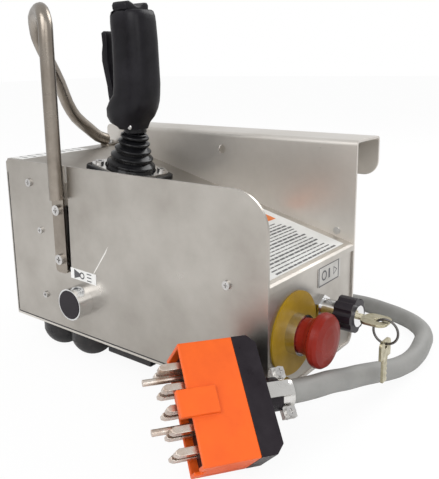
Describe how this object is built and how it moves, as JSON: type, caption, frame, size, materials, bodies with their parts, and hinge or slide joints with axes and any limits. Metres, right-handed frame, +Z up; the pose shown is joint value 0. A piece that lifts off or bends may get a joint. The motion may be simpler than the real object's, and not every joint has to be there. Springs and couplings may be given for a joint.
{
  "type": "scissor lift control box",
  "caption": "Folded steel platform control box that hooks on a guard rail, with joystick, horn button, emergency stop, key switch and a cable with its plug",
  "frame": {"origin": "on the floor under the middle of the casing, where the bumpers stand", "axes": "+X to the operator's end with the emergency stop and key, +Y to the rail hook, +Z up"},
  "size_m": [0.3458, 0.3492, 0.3083],
  "materials": {
    "casing_steel": "brushed, warm grey",
    "handle_steel": "satin tube",
    "fastener_steel": "zinc plated",
    "bright_plate": "bright, lightly scratched",
    "chrome": "polished",
    "key_nickel": "worn nickel",
    "ring_wire": "dark wire",
    "blade_silver": "plated blades and pins",
    "bumper_rubber": "black, slightly glossy",
    "boot_rubber": "glossy black",
    "grip_plastic": "fine grain, charcoal",
    "black_plastic": "moulded black",
    "stop_red": "red mushroom",
    "stop_yellow": "olive yellow ring",
    "plug_orange": "orange moulding",
    "cable_grey": "grey jacket",
    "board_green": "solder mask",
    "terminal_grey": "moulded grey",
    "label_white": "film label",
    "label_grey": "metallised label"
  },
  "bodies": {
    "casing": {"base_sheet": "casing_steel", "base_bend": "casing_steel", "back_wall": "casing_steel", "hook_top": "casing_steel", "hook_lip": "casing_steel", "front_angle": "casing_steel", "front_plate": "casing_steel", "left_end_panel": "casing_steel", "right_end_panel": "casing_steel", "deck_panel": "casing_steel", "board_bracket": "casing_steel", "handle": "handle_steel", "panel_screws": "fastener_steel", "back_rivets": "fastener_steel", "handle_screws": "fastener_steel", "foot_screws": "fastener_steel", "retainer_screws": "fastener_steel", "clamp_screws": "fastener_steel", "lock_nuts": "fastener_steel", "boot_retainer": "bright_plate", "cable_clamp": "bright_plate", "joystick_pin": "bright_plate", "horn_bezel": "chrome", "stop_collar": "chrome", "key_barrel": "chrome", "plug_blades": "blade_silver", "guide_pins": "blade_silver", "rubber_feet": "bumper_rubber", "middle_pad": "bumper_rubber", "boot": "boot_rubber", "cable_gland": "boot_rubber", "gland_nut": "boot_rubber", "contact_blocks": "black_plastic", "key_bezel": "black_plastic", "plug_cap": "black_plastic", "plug_insert": "black_plastic", "joystick_housing": "black_plastic", "stop_ring": "stop_yellow", "plug_body": "plug_orange", "cable": "cable_grey", "sensor_board": "board_green", "control_board": "board_green", "terminal_strip": "terminal_grey", "slope_label": "label_white", "strip_label": "label_white", "horn_label": "label_white", "end_label": "label_grey"},
    "joystick": {"joystick_shaft": "bright_plate", "grip": "grip_plastic", "grip_pins": "bright_plate", "trigger_switch": "black_plastic"},
    "key": {"lock_cylinder": "chrome", "key": "key_nickel"},
    "trigger": {"trigger": "grip_plastic"},
    "rocker": {"rocker": "grip_plastic"},
    "horn_button": {"horn_button": "black_plastic"},
    "stop_plunger": {"stop_plunger": "black_plastic"},
    "stop_head": {"stop_head": "stop_red"},
    "key_ring": {"key_ring": "ring_wire"},
    "spare_key": {"spare_key": "key_nickel"}
  },
  "joints": [
    {"name": "joystick_tilt", "type": "hinge", "parent": "casing", "child": "joystick", "pos_m": [-0.05878, 0.007, 0.14251], "axis": [0, 1, 0], "range_deg": [-20, 20], "stiffness_Nm_per_rad": 6, "deforming": ["boot"]},
    {"name": "trigger_squeeze", "type": "hinge", "parent": "joystick", "child": "trigger", "pos_m": [-0.06659, 0.007, 0.22131], "axis": [0, 1, 0], "range_deg": [0, 7], "stiffness_Nm_per_rad": 0.6, "springref_deg": -8.59},
    {"name": "rocker_tip", "type": "hinge", "parent": "joystick", "child": "rocker", "pos_m": [-0.04559, 0.007, 0.29631], "axis": [1, 0, 0], "range_deg": [-12, 12], "stiffness_Nm_per_rad": 0.15},
    {"name": "horn_press", "type": "slide", "parent": "casing", "child": "horn_button", "axis": [0, 1, 0], "range_m": [0, 0.0035], "stiffness_N_per_m": 600, "springref_m": -0.004},
    {"name": "stop_press", "type": "slide", "parent": "casing", "child": "stop_plunger", "axis": [-1, 0, 0], "range_m": [0, 0.005]},
    {"name": "stop_twist", "type": "hinge", "parent": "stop_plunger", "child": "stop_head", "pos_m": [0.16, -0.0285, 0.065], "axis": [1, 0, 0], "range_deg": [0, 30], "stiffness_Nm_per_rad": 0.1, "springref_deg": -5.73},
    {"name": "key_turn", "type": "hinge", "parent": "casing", "child": "key", "pos_m": [0.16, 0.012, 0.0715], "axis": [1, 0, 0], "range_deg": [0, 90]},
    {"name": "key_ring_swing", "type": "hinge", "parent": "key", "child": "key_ring", "pos_m": [0.19315, 0.012, 0.0728], "axis": [1, 0, 0], "range_deg": [-18, 18]},
    {"name": "spare_key_swing", "type": "hinge", "parent": "key_ring", "child": "spare_key", "pos_m": [0.19315, 0.012, 0.05562], "axis": [1, 0, 0], "range_deg": [-40, 40]}
  ]
}
